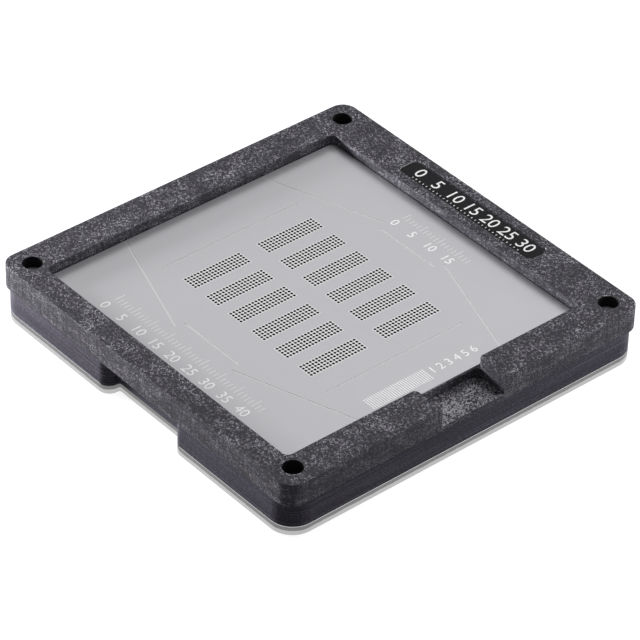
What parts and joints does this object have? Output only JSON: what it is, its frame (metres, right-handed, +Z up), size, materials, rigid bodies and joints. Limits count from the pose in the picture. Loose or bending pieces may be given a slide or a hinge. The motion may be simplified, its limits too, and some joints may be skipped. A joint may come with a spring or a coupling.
{
  "type": "solder paste stencil",
  "caption": "Square perforated steel solder paste stencil lying in the sunk window of a dark positioning frame, on a black magnet base with a clear foot pad.",
  "frame": {"origin": "centre of the square outline, on the surface the foot pad stands on", "axes": "+Z up; +Y towards the wide rail with the label, +X towards the rail with the lift notch"},
  "size_m": [0.085, 0.085, 0.012],
  "materials": {
    "stencil_steel": "satin, light grey rolled sheet",
    "frame_composite": "milled fibre composite with short light flecks",
    "label_black": "matt black printed film",
    "base_anodised": "satin black anodised",
    "pad_clear": "clear soft sheet, cut edge",
    "pin_steel": "ground dowel pin",
    "magnet_nickel": "nickel plated"
  },
  "bodies": {
    "root": {"stencil_sheet": "stencil_steel", "positioning_frame": "frame_composite", "label_strip": "label_black", "base_plate": "base_anodised", "foot_pad": "pad_clear", "front_left_pin": "pin_steel", "back_right_pin": "pin_steel", "magnet_1": "magnet_nickel", "magnet_2": "magnet_nickel", "magnet_3": "magnet_nickel", "magnet_4": "magnet_nickel", "magnet_5": "magnet_nickel", "magnet_6": "magnet_nickel", "magnet_7": "magnet_nickel", "magnet_8": "magnet_nickel", "magnet_9": "magnet_nickel", "magnet_10": "magnet_nickel", "magnet_11": "magnet_nickel", "magnet_12": "magnet_nickel"}
  },
  "joints": []
}
